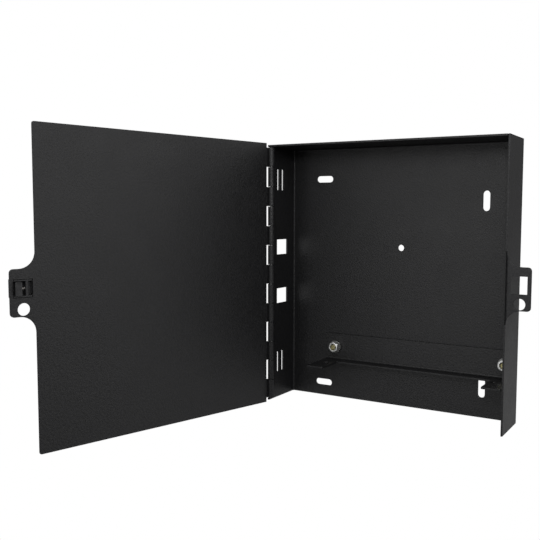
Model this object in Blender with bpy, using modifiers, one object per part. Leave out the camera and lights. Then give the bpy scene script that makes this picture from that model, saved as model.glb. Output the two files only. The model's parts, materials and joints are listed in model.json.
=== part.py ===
"""Wall-mounted fibre termination box of folded sheet steel, with its door open.

The box is open at the bottom, its door hangs on a rolled pin hinge down the left wall, and a
sprung latch in the door's tab hooks the window of the matching tab on the right wall.
Metres, +Z up, +Y into the wall. The origin is the centre of the back panel's rear face.
"""

import math

import bmesh
import bpy
from mathutils import Matrix, Vector

MM = 0.001

# Driving dimensions
BOX_WIDTH = 170 * MM
BOX_HEIGHT = 182 * MM
BOX_DEPTH = 35 * MM
SHEET = 1.2 * MM
BEND_RADIUS = 2.5 * MM
GAP = 0.3 * MM
REACH = 5 * MM  # how far a cutter stands past what it cuts

KNUCKLES = 13
HINGE_LENGTH = 178.5 * MM
KNUCKLE_RADIUS = 2.4 * MM
KNUCKLE_GAP = 0.3 * MM
ROLL_ANGLE = math.radians(288)
PIN_RADIUS = 0.9 * MM

DOOR_OPEN = math.radians(106.2)
DOOR_OVERHANG = 1.2 * MM
DOOR_START = 3.3 * MM
DOOR_CORNER = 1.2 * MM

DOOR_TAB_END = 100.4 * MM
WALL_TAB_END = 99.6 * MM
TAB_TOP = 12.5 * MM
TAB_BOTTOM = -13.7 * MM
TAB_FILLET = 9 * MM
TAB_CORNER = 2.2 * MM
PADLOCK_X = 92.9 * MM
PADLOCK_Z = -9.7 * MM
PADLOCK_RADIUS = 3.5 * MM

SLOT_LENGTH = 13.3 * MM
SLOT_WIDTH = 4.6 * MM
FLAT_SLOTS = ((-57.6 * MM, 68.1 * MM), (-57.4 * MM, -81.4 * MM))
UPRIGHT_SLOTS = ((61.9 * MM, 52.2 * MM), (61.5 * MM, -71.0 * MM))
CENTRE_HOLE = (2.7 * MM, 19.9 * MM)
CENTRE_HOLE_RADIUS = 2.2 * MM
SIDE_WINDOW_Y = (-24.7 * MM, -10.6 * MM)
SIDE_WINDOW_Z = (18.9 * MM, -16.6 * MM)
SIDE_WINDOW_HEIGHT = 10.8 * MM
SIDE_SLIT_Y = (-23.0 * MM, -17.0 * MM)
SIDE_SLIT_Z = (67.3 * MM, -65.0 * MM)
SIDE_SLIT_WIDTH = 2.4 * MM
SIDE_SLIT_HEIGHT = 14.8 * MM

BRACKET_LEFT = -54.3 * MM
BRACKET_RIGHT = 83.2 * MM
BRACKET_TOP = -44.0 * MM
LEDGE_TOP = -62.6 * MM
LEDGE_DEPTH = 11.0 * MM
EAR_DEPTH = 33.0 * MM
EAR_WIDTH = 13.0 * MM
EAR_HOLE_SPACING = 120.65 * MM
EAR_HOLE_RADIUS = 2.1 * MM
EAR_HOLE_CENTRE = 13.7 * MM
EAR_HOLE_Y = -17.3 * MM
BRACKET_CORNER = 1.0 * MM

STUD_X = {"left": -46.9 * MM, "right": 76.9 * MM}
STUD_Z = -53.5 * MM
STUD_RADIUS = 2.0 * MM
STUD_HOLE_RADIUS = 2.3 * MM
WASHER_RADIUS = 4.5 * MM
WASHER_THICKNESS = 0.8 * MM
NUT_ACROSS_FLATS = 7.0 * MM
NUT_HEIGHT = 3.2 * MM
NUT_FACE_RADIUS = 3.3 * MM

# Places that follow from them
LEFT = -BOX_WIDTH / 2
RIGHT = BOX_WIDTH / 2
TOP = BOX_HEIGHT / 2
FRONT = -BOX_DEPTH
AXIS_X = LEFT + KNUCKLE_RADIUS
AXIS_Y = FRONT - GAP - SHEET + KNUCKLE_RADIUS
DOOR_EDGE = RIGHT + DOOR_OVERHANG - AXIS_X
DOOR_OUTER = -KNUCKLE_RADIUS
DOOR_INNER = SHEET - KNUCKLE_RADIUS
BRACKET_Y = -SHEET - GAP

# The latch, in the door's own frame: x and y from the hinge axis with the door shut
CUTOUT_X = (87.9 * MM - AXIS_X, 98.6 * MM - AXIS_X)
CUTOUT_Z = (-3.3 * MM, 6.9 * MM)
WINDOW_X = (87.6 * MM, 97.3 * MM)
WINDOW_Z = (-3.7 * MM, 7.0 * MM)
LATCH_Z = (CUTOUT_Z[0] + CUTOUT_Z[1]) / 2
LATCH_WALL = 0.8 * MM
LATCH_WEB = (90.5 * MM - AXIS_X, 91.8 * MM - AXIS_X)
BEZEL_RIM = 1.3 * MM
BEZEL_HEIGHT = 1.9 * MM
SLIDE_X = (94.9 * MM - AXIS_X, 96.9 * MM - AXIS_X)
HOOK_CREST_X = 96.2 * MM - AXIS_X
HOOK_TIP_X = 98.2 * MM - AXIS_X
HOOK_ROOT = 1.2 * MM
SPRING_X = (LATCH_WEB[1] + GAP, SLIDE_X[0] + 1.2 * MM)
SPRING_Y = -2.5 * MM
SPRING_RADIUS = 1.05 * MM
SPRING_WIRE = 0.2 * MM
SPRING_TURNS = 5

CUTTERS = "cutters"
PARTS = "fiber_termination_box"


def clear_scene():
    for old in list(bpy.data.objects):
        bpy.data.objects.remove(old, do_unlink=True)
    for name in (PARTS, CUTTERS):
        bpy.context.scene.collection.children.link(bpy.data.collections.new(name))


def material(name, colour, roughness, metallic=0.0):
    made = bpy.data.materials.new(name)
    made.use_nodes = True
    shader = made.node_tree.nodes["Principled BSDF"]
    shader.inputs["Base Color"].default_value = (*colour, 1.0)
    shader.inputs["Roughness"].default_value = roughness
    shader.inputs["Metallic"].default_value = metallic
    return made


def arc(centre, radius, start, end, steps):
    """Points along a circular arc, angles in degrees, both ends included."""
    points = []
    for i in range(steps + 1):
        angle = math.radians(start + (end - start) * i / steps)
        points.append((centre[0] + radius * math.cos(angle), centre[1] + radius * math.sin(angle)))
    return points


def rectangle(x0, y0, x1, y1):
    return [(x0, y0), (x1, y0), (x1, y1), (x0, y1)]


def circle(centre, radius, steps=24):
    return arc(centre, radius, 0, 360, steps)[:-1]


def obround(centre, length, width, upright=False):
    radius = width / 2
    reach = length / 2 - radius
    points = arc((reach, 0), radius, -90, 90, 8) + arc((-reach, 0), radius, 90, 270, 8)
    if upright:
        points = [(-y, x) for x, y in points]
    return [(centre[0] + x, centre[1] + y) for x, y in points]


def link(obj, collection=PARTS, finish=None):
    bpy.data.collections[collection].objects.link(obj)
    if finish is not None:
        obj.data.materials.append(finish)
    return obj


def prism(name, outlines, low, high, plane="XY", collection=PARTS, finish=None):
    """A solid whose outlines lie in the named plane, standing from low to high across it."""
    curve = bpy.data.curves.new(name, "CURVE")
    curve.dimensions = "2D"
    curve.fill_mode = "BOTH"
    curve.extrude = (high - low) / 2
    for outline in outlines:
        spline = curve.splines.new("POLY")
        spline.points.add(len(outline) - 1)
        for point, (x, y) in zip(spline.points, outline):
            point.co = (x, y, 0, 1)
        spline.use_cyclic_u = True
    middle = (low + high) / 2
    if plane == "XZ":
        matrix = Matrix.Translation((0, middle, 0)) @ Matrix.Rotation(math.pi / 2, 4, "X")
    elif plane == "YZ":
        matrix = Matrix.Translation((middle, 0, 0)) @ Matrix(
            ((0, 0, 1, 0), (1, 0, 0, 0), (0, 1, 0, 0), (0, 0, 0, 1))
        )
    else:
        matrix = Matrix.Translation((0, 0, middle))
    source = bpy.data.objects.new(name + "_curve", curve)
    bpy.context.scene.collection.objects.link(source)
    graph = bpy.context.evaluated_depsgraph_get()
    mesh = bpy.data.meshes.new_from_object(source.evaluated_get(graph))
    bpy.data.objects.remove(source, do_unlink=True)
    mesh.name = name
    mesh.transform(matrix)
    work = bmesh.new()
    work.from_mesh(mesh)
    bmesh.ops.remove_doubles(work, verts=work.verts, dist=1e-6)
    bmesh.ops.recalc_face_normals(work, faces=work.faces)
    work.to_mesh(mesh)
    work.free()
    mesh.materials.clear()
    return link(bpy.data.objects.new(name, mesh), collection, finish)


def box(name, low, high, collection=PARTS, finish=None):
    mesh = bpy.data.meshes.new(name)
    work = bmesh.new()
    size = Vector(high) - Vector(low)
    middle = (Vector(high) + Vector(low)) / 2
    place = Matrix.Translation(middle) @ Matrix.Diagonal((*size, 1.0))
    bmesh.ops.create_cube(work, size=1.0, matrix=place)
    work.to_mesh(mesh)
    work.free()
    return link(bpy.data.objects.new(name, mesh), collection, finish)


def cone(name, place, radius, steps, length, tip_radius=None, collection=PARTS, finish=None):
    """A cylinder along place's Z, or a frustum whose +Z end has tip_radius."""
    mesh = bpy.data.meshes.new(name)
    work = bmesh.new()
    tip = radius if tip_radius is None else tip_radius
    bmesh.ops.create_cone(
        work, cap_ends=True, segments=steps, radius1=radius, radius2=tip, depth=length, matrix=place
    )
    work.to_mesh(mesh)
    work.free()
    return link(bpy.data.objects.new(name, mesh), collection, finish)


def turned(name, profile, place, steps=40, collection=PARTS, finish=None):
    """A ring turned round its own Z from a closed profile of (radius, height) points."""
    mesh = bpy.data.meshes.new(name)
    points = [(radius, 0, height) for radius, height in profile]
    edges = [(i, (i + 1) % len(points)) for i in range(len(points))]
    mesh.from_pydata(points, edges, [])
    obj = link(bpy.data.objects.new(name, mesh), collection, finish)
    obj.matrix_world = place
    screw = obj.modifiers.new("turn", "SCREW")
    screw.steps = screw.render_steps = steps
    screw.use_merge_vertices = True
    screw.merge_threshold = 1e-6
    return obj


def combine(target, tool, operation):
    modifier = target.modifiers.new(operation.lower() + "_" + tool.name, "BOOLEAN")
    modifier.operation = operation
    modifier.object = tool
    modifier.solver = "EXACT"
    tool.hide_render = True
    tool.display_type = "WIRE"


def bake(obj):
    """Turns the object's modifiers into its mesh, so that tools may be shared or moved."""
    graph = bpy.context.evaluated_depsgraph_get()
    mesh = bpy.data.meshes.new_from_object(obj.evaluated_get(graph))
    obj.modifiers.clear()
    obj.data = mesh


def smooth(obj, angle=30):
    obj.data.shade_smooth()
    obj.data.set_sharp_from_angle(angle=math.radians(angle))


def soften(obj, width=0.2 * MM, segments=2):
    bevel = obj.modifiers.new("edges", "BEVEL")
    bevel.width = width
    bevel.segments = segments
    bevel.limit_method = "ANGLE"
    bevel.angle_limit = math.radians(40)


def bent_strip(corner, first, second, inside):
    """Outline of sheet bent through a right angle: a straight leg ends at `first`, another at `second`.

    corner is where the two outer faces would meet; inside is the (x, y) signs towards the sheet.
    """
    cx, cy = corner
    sx, sy = inside
    centre = (cx + sx * BEND_RADIUS, cy + sy * BEND_RADIUS)
    start = math.degrees(math.atan2(0, -sx))
    end = math.degrees(math.atan2(-sy, 0))
    if end - start > 180:
        end -= 360
    if end - start < -180:
        end += 360
    outer = arc(centre, BEND_RADIUS, start, end, 6)
    inner = arc(centre, BEND_RADIUS - SHEET, end, start, 4)
    return (
        [(cx, first)]
        + outer
        + [(second, cy), (second, cy + sy * SHEET)]
        + inner
        + [(cx + sx * SHEET, first)]
    )


def knuckle_outline(strap):
    """A sheet strap along +X that rolls round the hinge axis towards the +Y side."""
    inner_radius = KNUCKLE_RADIUS - SHEET
    finish = -90 - math.degrees(ROLL_ANGLE)
    return (
        [(strap, -inner_radius), (strap, -KNUCKLE_RADIUS)]
        + arc((0, 0), KNUCKLE_RADIUS, -90, finish, 26)
        + arc((0, 0), inner_radius, finish, -90, 20)
    )


def knuckle_span(index):
    pitch = HINGE_LENGTH / KNUCKLES
    top = HINGE_LENGTH / 2 - index * pitch
    return top - pitch + KNUCKLE_GAP / 2, top - KNUCKLE_GAP / 2


def tab_outline(inner_x, wall_x, end_x):
    """A hasp tab that widens with fillets into the sheet at wall_x and starts at inner_x."""
    return (
        [(inner_x, TAB_BOTTOM - TAB_FILLET), (wall_x, TAB_BOTTOM - TAB_FILLET)]
        + arc((wall_x + TAB_FILLET, TAB_BOTTOM - TAB_FILLET), TAB_FILLET, 180, 90, 10)
        + arc((end_x - TAB_CORNER, TAB_BOTTOM + TAB_CORNER), TAB_CORNER, -90, 0, 5)
        + arc((end_x - TAB_CORNER, TAB_TOP - TAB_CORNER), TAB_CORNER, 0, 90, 5)
        + arc((wall_x + TAB_FILLET, TAB_TOP + TAB_FILLET), TAB_FILLET, -90, -180, 10)
        + [(inner_x, TAB_TOP + TAB_FILLET)]
    )


def folded_back_and_walls(finish):
    """Back panel, side walls and top as one sheet, bent up along the panel's three edges."""
    mesh = bpy.data.meshes.new("base_shell")
    work = bmesh.new()
    place = Matrix.Translation((0, -BOX_DEPTH / 2, 0))
    place = place @ Matrix.Diagonal((BOX_WIDTH, BOX_DEPTH, BOX_HEIGHT, 1))
    bmesh.ops.create_cube(work, size=1.0, matrix=place)
    open_sides = [face for face in work.faces if face.normal.y < -0.9 or face.normal.z < -0.9]
    bmesh.ops.delete(work, geom=open_sides, context="FACES")
    weight = work.edges.layers.float.new("bevel_weight_edge")
    for edge in work.edges:
        on_back = all(abs(vert.co.y) < 0.01 * MM for vert in edge.verts)
        edge[weight] = 1.0 if on_back and not edge.is_boundary else 0.0
    work.to_mesh(mesh)
    work.free()
    shell = link(bpy.data.objects.new("base_shell", mesh), finish=finish)
    bends = shell.modifiers.new("bends", "BEVEL")
    bends.width = BEND_RADIUS
    bends.segments = 4
    bends.limit_method = "WEIGHT"
    thickness = shell.modifiers.new("sheet", "SOLIDIFY")
    thickness.thickness = SHEET
    thickness.offset = -1
    thickness.use_even_offset = True
    return shell


def cut_shell_edges(shell):
    """Corner seams beside the top, and room at the front for the hinge and the hasp tab."""
    front = FRONT - REACH
    hinge_half = HINGE_LENGTH / 2 + KNUCKLE_GAP
    bend_start = -BEND_RADIUS - GAP
    seam_low = TOP - 1.5 * SHEET
    cutters = {
        "seam_left": (
            (LEFT + SHEET, front, seam_low),
            (LEFT + SHEET + GAP, bend_start, TOP + REACH),
        ),
        "seam_right": (
            (RIGHT - SHEET - GAP, front, seam_low),
            (RIGHT - SHEET, bend_start, TOP + REACH),
        ),
        "hinge_relief": (
            (LEFT - REACH, front, -hinge_half),
            (LEFT + SHEET + 0.5 * MM, AXIS_Y + KNUCKLE_RADIUS + KNUCKLE_GAP, hinge_half),
        ),
        "tab_relief": (
            (RIGHT - SHEET - 0.2 * MM, front, TAB_BOTTOM - TAB_FILLET),
            (RIGHT + REACH, FRONT + 3.5 * MM, TAB_TOP + TAB_FILLET),
        ),
    }
    for name, (low, high) in cutters.items():
        combine(shell, box(name, low, high, CUTTERS), "DIFFERENCE")


def add_wall_tab(shell):
    """The right wall's front edge turns outward into the tab, so its inner face becomes the tab's front."""
    low, high = TAB_BOTTOM - TAB_FILLET, TAB_TOP + TAB_FILLET
    turn = bent_strip((RIGHT - SHEET, FRONT), FRONT + REACH, WALL_TAB_END + 1 * MM, (1, 1))
    tab = prism("wall_tab", [turn], low, high, "XY", CUTTERS)
    window = rectangle(WINDOW_X[0], WINDOW_Z[0], WINDOW_X[1], WINDOW_Z[1])
    padlock = circle((PADLOCK_X, PADLOCK_Z), PADLOCK_RADIUS)
    shape = tab_outline(RIGHT - SHEET - 1 * MM, RIGHT, WALL_TAB_END)
    trimming = prism(
        "wall_tab_outline", [shape, window, padlock], FRONT - REACH, FRONT + 2 * REACH, "XZ", CUTTERS
    )
    combine(tab, trimming, "INTERSECT")
    bake(tab)
    combine(shell, tab, "UNION")


def punch_shell(shell):
    """Wall slots, centre hole and stud holes in the back panel; windows and slits in the left wall."""
    back_holes = [obround(centre, SLOT_LENGTH, SLOT_WIDTH) for centre in FLAT_SLOTS]
    back_holes += [obround(centre, SLOT_LENGTH, SLOT_WIDTH, upright=True) for centre in UPRIGHT_SLOTS]
    back_holes.append(circle(CENTRE_HOLE, CENTRE_HOLE_RADIUS))
    for x in STUD_X.values():
        back_holes.append(circle((x, STUD_Z), STUD_HOLE_RADIUS))
    for index, outline in enumerate(back_holes):
        cutter = prism(f"back_hole_{index}", [outline], -REACH, REACH, "XZ", CUTTERS)
        combine(shell, cutter, "DIFFERENCE")

    side_holes = []
    for z in SIDE_WINDOW_Z:
        half = SIDE_WINDOW_HEIGHT / 2
        side_holes.append(rectangle(SIDE_WINDOW_Y[0], z - half, SIDE_WINDOW_Y[1], z + half))
    for z in SIDE_SLIT_Z:
        for y in SIDE_SLIT_Y:
            wide, high = SIDE_SLIT_WIDTH / 2, SIDE_SLIT_HEIGHT / 2
            side_holes.append(rectangle(y - wide, z - high, y + wide, z + high))
    for index, outline in enumerate(side_holes):
        cutter = prism(f"side_hole_{index}", [outline], LEFT - REACH, LEFT + REACH, "YZ", CUTTERS)
        combine(shell, cutter, "DIFFERENCE")


def make_base_shell(finish):
    shell = folded_back_and_walls(finish)
    cut_shell_edges(shell)
    add_wall_tab(shell)

    strap = 5.2 * MM
    turned_to_wall = [(AXIS_X + y, AXIS_Y + x) for x, y in knuckle_outline(strap)]
    for index in range(1, KNUCKLES, 2):
        low, high = knuckle_span(index)
        roll = prism(f"base_knuckle_{index}", [turned_to_wall], low, high, "XY", CUTTERS)
        combine(shell, roll, "UNION")
    punch_shell(shell)
    bake(shell)
    smooth(shell)
    return shell


def make_door(finish):
    half = TOP + DOOR_OVERHANG
    outline = (
        [(DOOR_START, -half)]
        + arc((DOOR_EDGE - DOOR_CORNER, -half + DOOR_CORNER), DOOR_CORNER, -90, 0, 4)
        + tab_outline(DOOR_EDGE, DOOR_EDGE, DOOR_TAB_END - AXIS_X)[1:-1]
        + arc((DOOR_EDGE - DOOR_CORNER, half - DOOR_CORNER), DOOR_CORNER, 0, 90, 4)
        + [(DOOR_START, half)]
    )
    holes = [
        rectangle(CUTOUT_X[0], CUTOUT_Z[0], CUTOUT_X[1], CUTOUT_Z[1]),
        circle((PADLOCK_X - AXIS_X, PADLOCK_Z), PADLOCK_RADIUS),
    ]
    door = prism("door_panel", [outline, *holes], DOOR_OUTER, DOOR_INNER, "XZ", finish=finish)
    roll_outline = knuckle_outline(DOOR_START + 2 * MM)
    for index in range(0, KNUCKLES, 2):
        low, high = knuckle_span(index)
        roll = prism(f"door_knuckle_{index}", [roll_outline], low, high, "XY", CUTTERS)
        combine(door, roll, "UNION")
    bake(door)
    smooth(door)
    return door


def make_bracket(finish):
    """An angle whose upright flange is clamped to the back panel and whose ledge ends in two ears."""
    profile = bent_strip(
        (BRACKET_Y, LEDGE_TOP - SHEET), BRACKET_TOP, -EAR_DEPTH - 1 * MM, (-1, 1)
    )
    bracket = prism("adapter_bracket", [profile], BRACKET_LEFT, BRACKET_RIGHT, "YZ", finish=finish)
    corner = BRACKET_CORNER
    front = -EAR_DEPTH + corner
    ledge = -LEDGE_DEPTH - corner
    left_ear = BRACKET_LEFT + EAR_WIDTH
    right_ear = BRACKET_RIGHT - EAR_WIDTH
    behind = 1 * MM
    outline = (
        [(BRACKET_LEFT, behind)]
        + arc((BRACKET_LEFT + corner, front), corner, 180, 270, 4)
        + arc((left_ear - corner, front), corner, -90, 0, 4)
        + arc((left_ear + corner, ledge), corner, 180, 90, 4)
        + arc((right_ear - corner, ledge), corner, 90, 0, 4)
        + arc((right_ear + corner, front), corner, 180, 270, 4)
        + arc((BRACKET_RIGHT - corner, front), corner, -90, 0, 4)
        + [(BRACKET_RIGHT, behind)]
    )
    holes = []
    for side in (-1, 1):
        x = EAR_HOLE_CENTRE + side * EAR_HOLE_SPACING / 2
        holes.append(circle((x, EAR_HOLE_Y), EAR_HOLE_RADIUS))
    trimming = prism(
        "bracket_outline", [outline, *holes], LEDGE_TOP - REACH, BRACKET_TOP + REACH, "XY", CUTTERS
    )
    combine(bracket, trimming, "INTERSECT")
    for side, x in STUD_X.items():
        across = Matrix.Translation((x, BRACKET_Y, STUD_Z)) @ Matrix.Rotation(math.pi / 2, 4, "X")
        hole = cone(f"stud_hole_{side}", across, STUD_HOLE_RADIUS, 24, 8 * MM, collection=CUTTERS)
        combine(bracket, hole, "DIFFERENCE")
    bake(bracket)
    smooth(bracket)
    return bracket


def ring_profile(inner, outer, low, high):
    return [(outer, high), (outer, low), (inner, low), (inner, high)]


def make_nut(name, axis, back, finish):
    """A plain hexagon nut, its front corners turned to a cone; back is its height on the stud."""
    middle = axis @ Matrix.Translation((0, 0, back + NUT_HEIGHT / 2))
    nut = cone(f"hex_nut_{name}", middle, NUT_ACROSS_FLATS / math.sqrt(3), 6, NUT_HEIGHT, finish=finish)
    spread = NUT_FACE_RADIUS + NUT_HEIGHT / math.tan(math.radians(30))
    chamfer = cone(f"nut_chamfer_{name}", middle, spread, 48, NUT_HEIGHT, NUT_FACE_RADIUS, CUTTERS)
    combine(nut, chamfer, "INTERSECT")
    bore = cone(f"nut_bore_{name}", middle, STUD_HOLE_RADIUS, 32, 2 * NUT_HEIGHT, collection=CUTTERS)
    combine(nut, bore, "DIFFERENCE")
    bake(nut)
    smooth(nut)


def make_fasteners(steel, passivated):
    """Each stud stands out of the back panel with a washer and a nut on it.

    Heights run along the stud, from the back panel's rear face towards the front.
    """
    washer_low = -BRACKET_Y + SHEET + GAP
    washer_high = washer_low + WASHER_THICKNESS
    nut_back = washer_high + GAP
    recess = 0.4 * MM
    flush = 0.2 * MM
    length = nut_back + NUT_HEIGHT - recess - flush
    for side, x in STUD_X.items():
        axis = Matrix.Translation((x, 0, STUD_Z)) @ Matrix.Rotation(math.pi / 2, 4, "X")
        profile = ring_profile(STUD_HOLE_RADIUS, WASHER_RADIUS, washer_low, washer_high)
        smooth(turned(f"washer_{side}", profile, axis, finish=steel))
        make_nut(side, axis, nut_back, steel)
        middle = axis @ Matrix.Translation((0, 0, flush + length / 2))
        stud = cone(f"stud_{side}", middle, STUD_RADIUS, 24, length, finish=passivated)
        soften(stud, 0.25 * MM, 1)
        smooth(stud)


def make_latch_housing(bezel_front, finish):
    """A bezel on the door's outer face, and a frame through the cut-out with a web for the spring."""
    low_x, high_x = CUTOUT_X[0] + GAP, CUTOUT_X[1] - GAP
    low_z, high_z = CUTOUT_Z[0] + GAP, CUTOUT_Z[1] - GAP
    inner_face = DOOR_INNER - 0.05 * MM
    bezel_overlap = 0.5 * MM
    housing = box(
        "latch_housing",
        (low_x - BEZEL_RIM, bezel_front, low_z - BEZEL_RIM),
        (high_x + BEZEL_RIM, bezel_front + BEZEL_HEIGHT, high_z + BEZEL_RIM),
        finish=finish,
    )
    soften(housing, 0.35 * MM)
    frame = box(
        "latch_frame",
        (low_x, bezel_front + BEZEL_HEIGHT - bezel_overlap, low_z),
        (high_x, inner_face, high_z),
        CUTTERS,
    )
    combine(housing, frame, "UNION")
    way = box(
        "latch_way",
        (LATCH_WEB[1], bezel_front - REACH, low_z + LATCH_WALL),
        (high_x + 0.1 * MM, DOOR_INNER + REACH, high_z - LATCH_WALL),
        CUTTERS,
    )
    combine(housing, way, "DIFFERENCE")
    recess = box(
        "latch_recess",
        (low_x - 0.1 * MM, bezel_front + LATCH_WALL, low_z + LATCH_WALL),
        (LATCH_WEB[0], DOOR_INNER + REACH, high_z - LATCH_WALL),
        CUTTERS,
    )
    combine(housing, recess, "DIFFERENCE")
    bake(housing)
    smooth(housing)
    return housing


def make_latch_slide(bezel_front, finish):
    """A stem through the housing, with the hook that catches the wall tab and a ribbed thumb pad."""
    low_z, high_z = CUTOUT_Z[0] + GAP, CUTOUT_Z[1] - GAP
    back, stem = SLIDE_X
    hook_low = FRONT + SHEET + 0.35 * MM - AXIS_Y
    hook_tip = hook_low + 0.35 * MM
    hook_high = hook_low + HOOK_ROOT
    pad_back = bezel_front - GAP
    pad_thick = 1.3 * MM
    outline = [
        (back, pad_back - 0.7 * MM),
        (stem, pad_back - 0.7 * MM),
        (stem, hook_low),
        (HOOK_TIP_X, hook_low),
        (HOOK_TIP_X, hook_tip),
        (HOOK_CREST_X, hook_high),
        (back, hook_high),
    ]
    clear = LATCH_WALL + GAP
    slide = prism("latch_slide", [outline], low_z + clear, high_z - clear, "XY", finish=finish)
    pad_left, pad_right = LATCH_WEB[0], CUTOUT_X[1] + 0.6 * MM
    pad = box(
        "latch_pad",
        (pad_left, pad_back - pad_thick, low_z - 0.2 * MM),
        (pad_right, pad_back, high_z + 0.2 * MM),
        CUTTERS,
    )
    combine(slide, pad, "UNION")
    ribs, rib_width, rib_height, rib_inset = 5, 0.45 * MM, 0.5 * MM, 0.8 * MM
    pitch = (pad_right - pad_left) / ribs
    for index in range(ribs):
        x = pad_left + (index + 0.5) * pitch - rib_width / 2
        rib = box(
            f"pad_rib_{index}",
            (x, pad_back - pad_thick - rib_height, low_z + rib_inset),
            (x + rib_width, pad_back - pad_thick + rib_height / 2, high_z - rib_inset),
            CUTTERS,
        )
        combine(slide, rib, "UNION")
    seat = SPRING_X[1] + GAP
    along = Matrix.Translation((seat - REACH / 2, SPRING_Y, LATCH_Z)) @ Matrix.Rotation(math.pi / 2, 4, "Y")
    pocket_radius = SPRING_RADIUS + SPRING_WIRE + 0.25 * MM
    pocket = cone("spring_pocket", along, pocket_radius, 20, REACH, collection=CUTTERS)
    combine(slide, pocket, "DIFFERENCE")
    bake(slide)
    smooth(slide)
    return slide


def make_latch_spring(finish):
    curve = bpy.data.curves.new("latch_spring", "CURVE")
    curve.dimensions = "3D"
    curve.bevel_depth = SPRING_WIRE
    curve.bevel_resolution = 2
    curve.use_fill_caps = True
    spline = curve.splines.new("POLY")
    per_turn = 14
    count = SPRING_TURNS * per_turn
    spline.points.add(count)
    start, length = SPRING_X[0] + SPRING_WIRE, SPRING_X[1] - SPRING_X[0] - 2 * SPRING_WIRE
    for i in range(count + 1):
        angle = 2 * math.pi * i / per_turn
        y = SPRING_Y + SPRING_RADIUS * math.cos(angle)
        z = LATCH_Z + SPRING_RADIUS * math.sin(angle)
        spline.points[i].co = (start + length * i / count, y, z, 1)
    return link(bpy.data.objects.new("latch_spring", curve), finish=finish)


def make_hinge_pin(finish):
    place = Matrix.Translation((AXIS_X, AXIS_Y, 0))
    pin = cone("hinge_pin", place, PIN_RADIUS, 20, HINGE_LENGTH - 2 * GAP, finish=finish)
    smooth(pin)
    return pin


def main():
    clear_scene()
    powder_coat = material("powder_coat", (0.021, 0.021, 0.022), 0.55)
    zinc = material("zinc_plated_steel", (0.62, 0.62, 0.6), 0.32, 1.0)
    passivated = material("yellow_passivated_steel", (0.55, 0.5, 0.3), 0.4, 1.0)
    housing_plastic = material("latch_plastic", (0.014, 0.014, 0.015), 0.4)
    slide_plastic = material("slide_plastic", (0.02, 0.02, 0.021), 0.38)
    spring_steel = material("spring_steel", (0.6, 0.58, 0.55), 0.3, 1.0)

    make_base_shell(powder_coat)
    make_bracket(powder_coat)
    make_fasteners(zinc, passivated)
    make_hinge_pin(zinc)

    hinge = bpy.data.objects.new("door_hinge_axis", None)
    bpy.data.collections[PARTS].objects.link(hinge)
    hinge.location = (AXIS_X, AXIS_Y, 0)
    hinge.rotation_euler = (0, 0, -DOOR_OPEN)
    bezel_front = DOOR_OUTER - GAP - BEZEL_HEIGHT
    on_door = [
        make_door(powder_coat),
        make_latch_housing(bezel_front, housing_plastic),
        make_latch_slide(bezel_front, slide_plastic),
        make_latch_spring(spring_steel),
    ]
    for piece in on_door:
        piece.parent = hinge


main()
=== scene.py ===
import json
import math

import bmesh
import bpy
from mathutils import Matrix, Vector

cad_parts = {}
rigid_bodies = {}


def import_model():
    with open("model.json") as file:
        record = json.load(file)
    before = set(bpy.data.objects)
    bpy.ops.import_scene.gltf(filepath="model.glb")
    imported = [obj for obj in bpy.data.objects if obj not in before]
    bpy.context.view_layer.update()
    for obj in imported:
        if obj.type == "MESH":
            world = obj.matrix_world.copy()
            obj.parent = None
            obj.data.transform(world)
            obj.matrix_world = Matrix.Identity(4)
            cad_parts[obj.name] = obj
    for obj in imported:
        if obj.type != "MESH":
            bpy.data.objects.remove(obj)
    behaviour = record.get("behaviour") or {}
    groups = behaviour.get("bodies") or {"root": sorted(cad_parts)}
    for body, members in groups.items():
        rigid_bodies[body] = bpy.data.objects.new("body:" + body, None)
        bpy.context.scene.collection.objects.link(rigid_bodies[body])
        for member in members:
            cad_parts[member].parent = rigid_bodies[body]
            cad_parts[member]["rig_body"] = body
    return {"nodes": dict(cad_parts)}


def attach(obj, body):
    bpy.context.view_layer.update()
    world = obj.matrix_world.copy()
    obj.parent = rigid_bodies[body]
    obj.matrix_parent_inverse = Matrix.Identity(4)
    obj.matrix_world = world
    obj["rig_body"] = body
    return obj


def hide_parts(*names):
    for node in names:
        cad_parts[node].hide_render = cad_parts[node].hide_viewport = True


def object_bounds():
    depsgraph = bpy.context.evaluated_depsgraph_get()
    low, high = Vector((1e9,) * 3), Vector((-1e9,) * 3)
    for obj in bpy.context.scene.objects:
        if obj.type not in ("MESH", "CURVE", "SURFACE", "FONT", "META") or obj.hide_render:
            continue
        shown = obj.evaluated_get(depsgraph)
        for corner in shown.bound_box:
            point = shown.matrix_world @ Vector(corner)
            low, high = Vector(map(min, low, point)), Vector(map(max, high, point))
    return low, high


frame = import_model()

# Looks of a wall-mounted fibre termination box: textured black powder coat on folded sheet steel,
# zinc-plated nuts on yellow passivated studs, and a moulded sprung latch in the door's tab.

CAD_LOW, CAD_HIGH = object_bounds()
MM = 0.001
SHEET_EDGE = 0.14 * MM
PLASTIC_EDGE = 0.12 * MM
FASTENER_EDGE = 0.08 * MM
PIN_EDGE = 0.15 * MM
WIRE_EDGE = 0.02 * MM
THREAD_PITCH = 0.7 * MM
THREAD_DEPTH = 0.38 * MM
THREAD_CHAMFER = 0.45 * MM
THREAD_STEP = 0.05 * MM
THREAD_SIDES = 36
FLOOR_DROP = 0.12
CAMERA_PLACE = (0.19557, -0.46054, 0.04367)
CAMERA_YAW = math.radians(-29.376)
CAMERA_PITCH = math.radians(4.556)
CAMERA_ROLL = math.radians(-0.377)


# ---------------------------------------------------------------- materials


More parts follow.
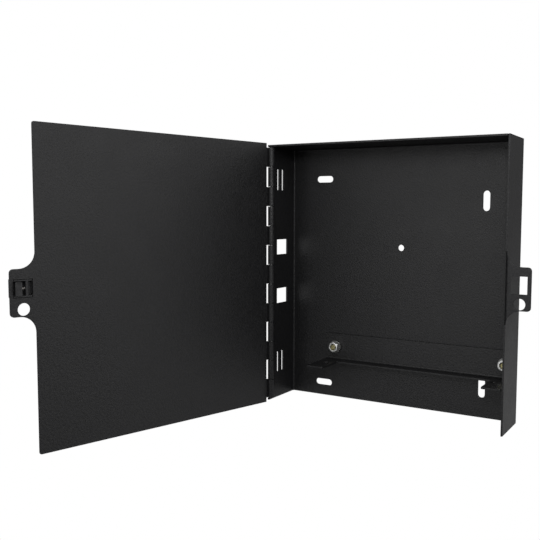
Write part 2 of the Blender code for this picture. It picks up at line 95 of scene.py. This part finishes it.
def material(name, colour, roughness, metallic=0.0, specular=0.5):
    made = bpy.data.materials.new(name)
    made.use_nodes = True
    shader = made.node_tree.nodes["Principled BSDF"]
    shader.inputs["Base Color"].default_value = (*colour, 1.0)
    shader.inputs["Roughness"].default_value = roughness
    shader.inputs["Metallic"].default_value = metallic
    shader.inputs["Specular IOR Level"].default_value = specular
    return made


def node(made, kind, **settings):
    new = made.node_tree.nodes.new(kind)
    for key, value in settings.items():
        if key in new.inputs:
            new.inputs[key].default_value = value
        else:
            setattr(new, key, value)
    return new


def join(made, *ends):
    """Links pairs of sockets: out, in, out, in."""
    for out, into in zip(ends[::2], ends[1::2]):
        made.node_tree.links.new(out, into)


def noise(made, size, detail=3.0, roughness=0.6):
    """Noise in the piece's own coordinates whose features are about `size` metres across."""
    place = node(made, "ShaderNodeTexCoord")
    pattern = node(made, "ShaderNodeTexNoise", Scale=1 / size, Detail=detail, Roughness=roughness)
    join(made, place.outputs["Object"], pattern.inputs["Vector"])
    return pattern.outputs["Fac"]


def remap(made, value, low, high, start=0.35, end=0.65):
    """The value stretched from start..end to low..high."""
    new = node(made, "ShaderNodeMapRange")
    new.inputs["From Min"].default_value = start
    new.inputs["From Max"].default_value = end
    new.inputs["To Min"].default_value = low
    new.inputs["To Max"].default_value = high
    join(made, value, new.inputs["Value"])
    return new.outputs["Result"]


def tint(made, value, dark, light, start=0.35, end=0.65):
    """A colour between dark and light, driven by the value."""
    ramp = node(made, "ShaderNodeValToRGB")
    ramp.color_ramp.elements[0].position = start
    ramp.color_ramp.elements[0].color = (*dark, 1.0)
    ramp.color_ramp.elements[1].position = end
    ramp.color_ramp.elements[1].color = (*light, 1.0)
    join(made, value, ramp.inputs["Fac"])
    return ramp.outputs["Color"]


def mixed(made, first, second, share):
    """The first value plus a share of the second."""
    new = node(made, "ShaderNodeMath", operation="MULTIPLY_ADD")
    new.inputs[1].default_value = share
    join(made, second, new.inputs[0])
    join(made, first, new.inputs[2])
    return new.outputs[0]


def bump(made, height, depth, strength=1.0):
    new = node(made, "ShaderNodeBump", Distance=depth, Strength=strength)
    shader = made.node_tree.nodes["Principled BSDF"]
    join(made, height, new.inputs["Height"], new.outputs["Normal"], shader.inputs["Normal"])


def powder_coat():
    """Matte black polyester powder with a fine sand texture, grains about a millimetre across."""
    made = material("textured_powder_coat", (0.012, 0.012, 0.0125), 0.4)
    shader = made.node_tree.nodes["Principled BSDF"]
    grain = noise(made, 1.1 * MM, 2.0, 0.55)
    fine = noise(made, 0.42 * MM, 2.0, 0.5)
    patch = noise(made, 22 * MM, 2.0, 0.5)
    colour = tint(made, grain, (0.0075, 0.0075, 0.0082), (0.0165, 0.0164, 0.0175))
    dulled = mixed(made, grain, patch, 0.5)
    join(made, colour, shader.inputs["Base Color"])
    join(made, remap(made, dulled, 0.33, 0.47, 0.5, 1.0), shader.inputs["Roughness"])
    bump(made, mixed(made, grain, fine, 0.45), 0.16 * MM)
    return made


def zinc(name, dark, light):
    """Zinc plating with fine turning marks, its patches between two greys."""
    made = material(name, (light, light, light), 0.4, metallic=1.0)
    shader = made.node_tree.nodes["Principled BSDF"]
    patch = noise(made, 1.6 * MM, 3.0, 0.6)
    marks = noise(made, 0.25 * MM, 2.0, 0.5)
    colour = tint(made, patch, (dark, 1.01 * dark, dark), (light, light, 0.98 * light))
    join(made, colour, shader.inputs["Base Color"])
    join(made, remap(made, patch, 0.34, 0.5), shader.inputs["Roughness"])
    bump(made, marks, 0.01 * MM)
    return made


def passivated():
    """Yellow chromate over zinc, uneven from brass to olive."""
    made = material("yellow_chromate", (0.5, 0.45, 0.22), 0.38, metallic=1.0)
    shader = made.node_tree.nodes["Principled BSDF"]
    patch = noise(made, 0.9 * MM, 3.0, 0.6)
    join(made, tint(made, patch, (0.3, 0.28, 0.12), (0.68, 0.62, 0.36)), shader.inputs["Base Color"])
    join(made, remap(made, patch, 0.3, 0.5), shader.inputs["Roughness"])
    bump(made, noise(made, 0.2 * MM), 0.008 * MM)
    return made


def moulded(name, colour, low, high):
    """Satin moulded plastic with a fine spark-eroded grain."""
    made = material(name, colour, low)
    shader = made.node_tree.nodes["Principled BSDF"]
    grain = noise(made, 0.22 * MM, 2.0, 0.5)
    patch = noise(made, 3.0 * MM, 2.0, 0.5)
    lighter = tuple(1.5 * value for value in colour)
    join(made, tint(made, patch, colour, lighter), shader.inputs["Base Color"])
    join(made, remap(made, patch, low, high), shader.inputs["Roughness"])
    bump(made, grain, 0.02 * MM)
    return made


def spring_steel():
    made = material("drawn_wire", (0.66, 0.64, 0.6), 0.25, metallic=1.0)
    shader = made.node_tree.nodes["Principled BSDF"]
    patch = noise(made, 0.5 * MM)
    join(made, tint(made, patch, (0.5, 0.48, 0.45), (0.75, 0.73, 0.7)), shader.inputs["Base Color"])
    join(made, remap(made, patch, 0.18, 0.34), shader.inputs["Roughness"])
    return made


# ---------------------------------------------------------------- pieces


def add(name, mesh, finish):
    piece = bpy.data.objects.new(name, mesh)
    bpy.context.scene.collection.objects.link(piece)
    mesh.materials.clear()
    mesh.materials.append(finish)
    return piece


def stand_for(piece, cad_node):
    body = frame["nodes"][cad_node]["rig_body"]
    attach(piece, body)
    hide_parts(cad_node)


def refined(cad_node, name, finish, width):
    """A copy of a CAD node with every sharp edge slightly broken.

    Its flat faces are merged and then split into clean triangles, because a bevelled outline with
    many corners can cross itself.
    """
    mesh = frame["nodes"][cad_node].data.copy()
    mesh.name = name
    work = bmesh.new()
    work.from_mesh(mesh)
    bmesh.ops.remove_doubles(work, verts=work.verts, dist=0.002 * MM)
    nearly_flat = math.radians(0.3)
    bmesh.ops.dissolve_limit(work, angle_limit=nearly_flat, verts=work.verts, edges=work.edges)
    bmesh.ops.triangulate(work, faces=work.faces)
    work.to_mesh(mesh)
    work.free()
    mesh.shade_smooth()
    piece = add(name, mesh, finish)
    edges = piece.modifiers.new("broken_edges", "BEVEL")
    edges.width = width
    edges.segments = 2
    edges.limit_method = "ANGLE"
    edges.angle_limit = math.radians(38)
    edges.use_clamp_overlap = False
    flat = piece.modifiers.new("flat_faces", "WEIGHTED_NORMAL")
    flat.keep_sharp = True
    stand_for(piece, cad_node)
    return piece


def thread_radius(radius, y, low, high, turn):
    """The rod's radius at height y and at a share of a turn: crest, flank, root or end chamfer."""
    to_end = min(y - low, high - y)
    chamfered = radius - max(0.0, THREAD_CHAMFER - to_end)
    phase = (y / THREAD_PITCH - turn) % 1
    flank = min(1.0, max(0.0, abs(2 * phase - 1) * 1.5 - 0.25))
    return min(chamfered, radius - THREAD_DEPTH * flank)


def threaded_rod(cad_node, name, finish):
    """A stud with a helical thread and chamfered ends, inside the CAD stud's length and diameter."""
    points = [vert.co for vert in frame["nodes"][cad_node].data.vertices]
    low = Vector(min(point[axis] for point in points) for axis in range(3))
    high = Vector(max(point[axis] for point in points) for axis in range(3))
    middle = (low + high) / 2
    radius = (high.x - low.x) / 2
    rings = round((high.y - low.y) / THREAD_STEP)
    work = bmesh.new()
    loops = []
    for ring in range(rings + 1):
        y = low.y + (high.y - low.y) * ring / rings
        loop = []
        for i in range(THREAD_SIDES):
            angle = 2 * math.pi * i / THREAD_SIDES
            reach = thread_radius(radius, y, low.y, high.y, i / THREAD_SIDES)
            spot = (middle.x + reach * math.cos(angle), y, middle.z + reach * math.sin(angle))
            loop.append(work.verts.new(spot))
        loops.append(loop)
    for first, second in zip(loops, loops[1:]):
        for i in range(THREAD_SIDES):
            j = (i + 1) % THREAD_SIDES
            work.faces.new((first[i], second[i], second[j], first[j]))
    work.faces.new(loops[0])
    work.faces.new(reversed(loops[-1]))
    bmesh.ops.recalc_face_normals(work, faces=work.faces)
    mesh = bpy.data.meshes.new(name)
    work.to_mesh(mesh)
    work.free()
    mesh.shade_smooth()
    mesh.set_sharp_from_angle(angle=math.radians(35))
    piece = add(name, mesh, finish)
    piece.matrix_world = frame["nodes"][cad_node].matrix_world
    stand_for(piece, cad_node)
    return piece


# ---------------------------------------------------------------- stage


def make_camera():
    data = bpy.data.cameras.new("camera")
    data.sensor_width = 36
    data.lens = 47.75
    data.shift_x = -0.0889
    camera = bpy.data.objects.new("camera", data)
    bpy.context.scene.collection.objects.link(camera)
    level_reach = math.cos(CAMERA_PITCH)
    forward = Vector(
        (math.sin(CAMERA_YAW) * level_reach, math.cos(CAMERA_YAW) * level_reach, -math.sin(CAMERA_PITCH))
    )
    level = Vector((math.cos(CAMERA_YAW), -math.sin(CAMERA_YAW), 0))
    down = forward.cross(level)
    right = math.cos(CAMERA_ROLL) * level + math.sin(CAMERA_ROLL) * down
    down = forward.cross(right)
    turn = Matrix((right, -down, -forward)).transposed()
    camera.matrix_world = Matrix.Translation(CAMERA_PLACE) @ turn.to_4x4()
    bpy.context.scene.camera = camera


def softbox(name, place, target, size, radiance):
    """A soft rectangular light whose surface has the given radiance."""
    data = bpy.data.lights.new(name, "AREA")
    data.shape = "RECTANGLE"
    data.size, data.size_y = size
    data.energy = radiance * math.pi * size[0] * size[1]
    light = bpy.data.objects.new(name, data)
    bpy.context.scene.collection.objects.link(light)
    light.location = place
    light.rotation_euler = (Vector(target) - Vector(place)).to_track_quat("-Z", "Y").to_euler()
    light.visible_camera = False


def make_world(ambient):
    """A surround that looks white but lights the object only dimly, so that the softboxes shape it."""
    world = bpy.data.worlds.new("studio")
    bpy.context.scene.world = world
    world.use_nodes = True
    tree = world.node_tree
    dim = tree.nodes["Background"]
    dim.inputs["Color"].default_value = (1, 1, 1, 1)
    dim.inputs["Strength"].default_value = ambient
    seen = tree.nodes.new("ShaderNodeBackground")
    seen.inputs["Color"].default_value = (1, 1, 1, 1)
    path = tree.nodes.new("ShaderNodeLightPath")
    choice = tree.nodes.new("ShaderNodeMixShader")
    tree.links.new(path.outputs["Is Camera Ray"], choice.inputs["Fac"])
    tree.links.new(dim.outputs["Background"], choice.inputs[1])
    tree.links.new(seen.outputs["Background"], choice.inputs[2])
    tree.links.new(choice.outputs["Shader"], tree.nodes["World Output"].inputs["Surface"])


def make_floor():
    """A glowing white floor that only the camera sees, so it melts into the white surround."""
    bpy.ops.mesh.primitive_plane_add(size=30, location=(0, 0, CAD_LOW.z - FLOOR_DROP))
    floor = bpy.context.object
    floor.name = "floor"
    glow = material("white_floor", (0.0, 0.0, 0.0), 0.9, specular=0.0)
    shader = glow.node_tree.nodes["Principled BSDF"]
    shader.inputs["Emission Color"].default_value = (1, 1, 1, 1)
    shader.inputs["Emission Strength"].default_value = 1.0
    floor.data.materials.append(glow)
    floor.visible_glossy = False
    floor.visible_diffuse = False


def make_stage():
    bpy.context.scene.view_settings.view_transform = "Standard"
    make_floor()
    make_world(0.15)
    softbox("front_softbox", (-0.55, -1.25, 0.1), (0, 0, 0), (1.3, 1.0), 0.78)
    softbox("high_front_softbox", (-0.5, -1.1, 0.85), (0, 0, 0), (1.0, 1.0), 0.5)
    softbox("right_softbox", (1.2, 0.15, 0.35), (0, -0.05, 0), (1.2, 1.0), 0.95)
    softbox("high_right_softbox", (0.6, -0.75, 0.6), (-0.05, -0.1, 0), (0.8, 0.8), 1.6)
    softbox("low_right_softbox", (1.1, 0.35, -0.45), (0.05, 0, 0), (0.9, 0.6), 0.4)
    softbox("low_rear_softbox", (0.6, 1.3, -0.5), (0.08, 0, 0), (1.0, 0.6), 0.2)
    softbox("key_light", (0.2, -0.47, 0.17), (0, 0, 0), (0.06, 0.06), 36.0)


def main():
    make_camera()
    make_stage()
    coat = powder_coat()
    for name in ("base_shell", "door_panel", "adapter_bracket"):
        refined(name, name + "_sheet", coat, SHEET_EDGE)
    bright = zinc("bright_zinc", 0.8, 0.97)
    # The washers get a copy of the zinc darkened to 0.16-0.3. This is painted shade standing in for the
    # nut's shadow and the black panel mirrored in the washer face, not a duller plating.
    dulled = zinc("painted_shade_zinc", 0.16, 0.3)
    yellow = passivated()
    for side in ("left", "right"):
        refined(f"washer_{side}", f"washer_{side}_plated", dulled, FASTENER_EDGE)
        refined(f"hex_nut_{side}", f"hex_nut_{side}_plated", bright, FASTENER_EDGE)
        threaded_rod(f"stud_{side}", f"stud_{side}_thread", yellow)
    refined("hinge_pin", "hinge_pin_rod", bright, PIN_EDGE)
    housing = moulded("latch_black", (0.014, 0.014, 0.015), 0.32, 0.5)
    refined("latch_housing", "latch_housing_moulding", housing, PLASTIC_EDGE)
    slide = moulded("slide_black", (0.02, 0.02, 0.021), 0.3, 0.45)
    refined("latch_slide", "latch_slide_moulding", slide, PLASTIC_EDGE)
    refined("latch_spring", "latch_spring_coil", spring_steel(), WIRE_EDGE)


main()
